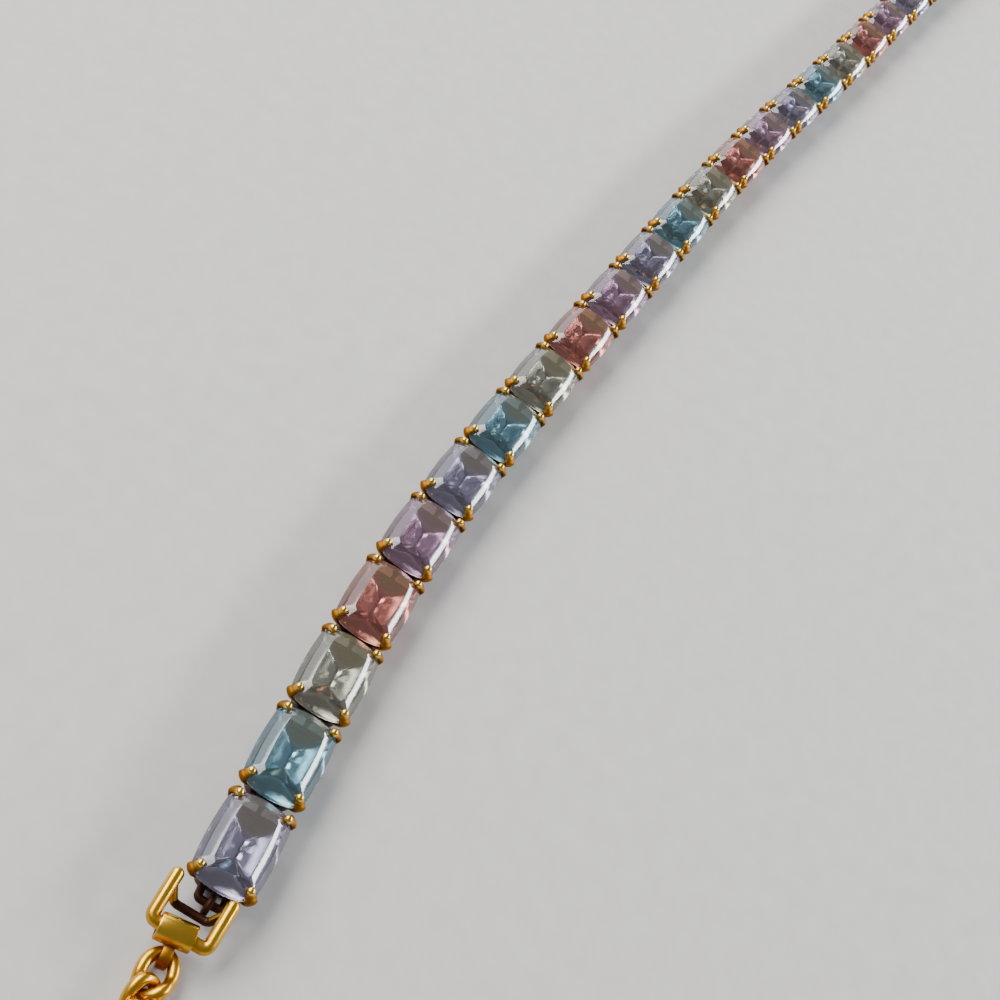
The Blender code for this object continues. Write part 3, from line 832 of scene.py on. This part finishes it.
def build_row(shaded_gold):
    """Stones and claw cups along the row. Returns where the first and last stones lie."""
    # Claws get painted shade low down and a painted highlight on their beads
    gold = gold_material("cup_gold", roughness=(0.5, 0.18), light_heights=CLAW_LIGHT_HEIGHTS, shade_and_highlight=CLAW_SHADE_AND_HIGHLIGHT)
    slots = list(STONE_TINTS)
    gems = {slot: gem_material(slot) for slot in slots}
    cuts = {slot: stone_mesh(slot + "_cut") for slot in slots}
    setting = setting_mesh()
    # The cup and hinges under the stone get near-black painted shade
    shade_inside(setting, gold, shaded_gold, under_stone)
    lies = []
    for number in range(1, STONE_COUNT + 1):
        where, heading = lie_of(f"stone_{number:02d}")
        lies.append((where, heading))
        slot = slots[(number - 1) % len(slots)]
        gem = add_piece(f"gem_{number:02d}", cuts[slot], gems[slot], f"stone_{number:02d}",
                        placing(where, heading))
        gem.modifiers.new("facets", "WEIGHTED_NORMAL")
        add_piece(f"claw_cup_{number:02d}", setting, gold, f"setting_{number:02d}",
                  placing(where, heading))
    return lies[0], lies[-1]


def build_near_end(gold, shaded_gold, lie):
    where, heading = lie
    hinge = ahead_of(where, heading, -PITCH / 2)
    heading += NEAR_FRAME_TURN
    mesh = end_frame_mesh("near_u_frame", NEAR_FRAME_SLIDE, True)
    # Frame and tab get painted shade low down and a painted highlight on top
    frame_gold = gold_material("near_frame_gold", roughness=(0.5, 0.26), light_heights=FRAME_LIGHT_HEIGHTS)
    # The lower bar and loop inside the near frame get near-black painted shade
    shade_inside(mesh, frame_gold, shaded_gold, inside_frame)
    add_piece("near_u_frame", mesh, frame_gold, "near_end_frame", placing(hinge, heading))
    rod = ahead_of(hinge, heading, FRAME_CROSS, NEAR_FRAME_SLIDE + NEAR_TAB_SLIDE)
    heading += NEAR_TAB_TURN
    tab_gold = gold_material("tab_gold", roughness=(0.5, 0.24), light_heights=TAB_LIGHT_HEIGHTS)
    add_piece("near_fold_tab", tab_mesh("near_fold_tab"), tab_gold, "near_tab", placing(rod, heading))
    start = ahead_of(rod, heading, -TAB_REACH)
    heading += CHAIN_TURN
    first = curb_link("first_curb_link", True)
    link = curb_link("curb_link", False)
    for index in range(CHAIN_LINKS):
        middle = ahead_of(start, heading, -LINK_HALF_LENGTH - index * CHAIN_PITCH)
        add_piece(f"curb_link_{index + 1:02d}", link if index else first, gold, "extender_chain",
                  placing(middle, heading))


def build_far_end(gold, lie):
    where, heading = lie
    hinge = ahead_of(where, heading, PITCH / 2)
    back = heading + math.pi
    mesh = end_frame_mesh("far_u_frame", 0.0, False)
    add_piece("far_u_frame", mesh, gold, "far_end_frame", placing(hinge, back))
    rod = ahead_of(hinge, heading, -FRAME_CROSS)
    add_piece("far_fold_tab", tab_mesh("far_fold_tab"), gold, "far_tab", placing(rod, back))
    start = ahead_of(rod, heading, TAB_REACH)
    ring = []
    for step in range(RING_STEPS):
        angle = 2 * math.pi * step / RING_STEPS
        ring.append((RING_RADIUS * (1 + math.cos(angle)), RING_RADIUS * math.sin(angle), CHAIN_HEIGHT))
    mesh = sweep(ring, CHAIN_WIRE, ROD_SIDES, closed=True)
    mesh.shade_smooth()
    add_piece("closing_ring", mesh, gold, "jump_ring", placing(start, heading))
    start = ahead_of(start, heading, 2 * RING_RADIUS)
    add_piece("clasp_body", clasp_mesh(), gold, "lobster_clasp", placing(start, heading))


def main():
    place_camera()
    light_scene()
    build_floor()
    gold = gold_material("gold_plate", roughness=(0.22, 0.38))
    shaded_gold = hidden_shade_material()
    first, last = build_row(shaded_gold)
    build_near_end(gold, shaded_gold, first)
    build_far_end(gold, last)


main()
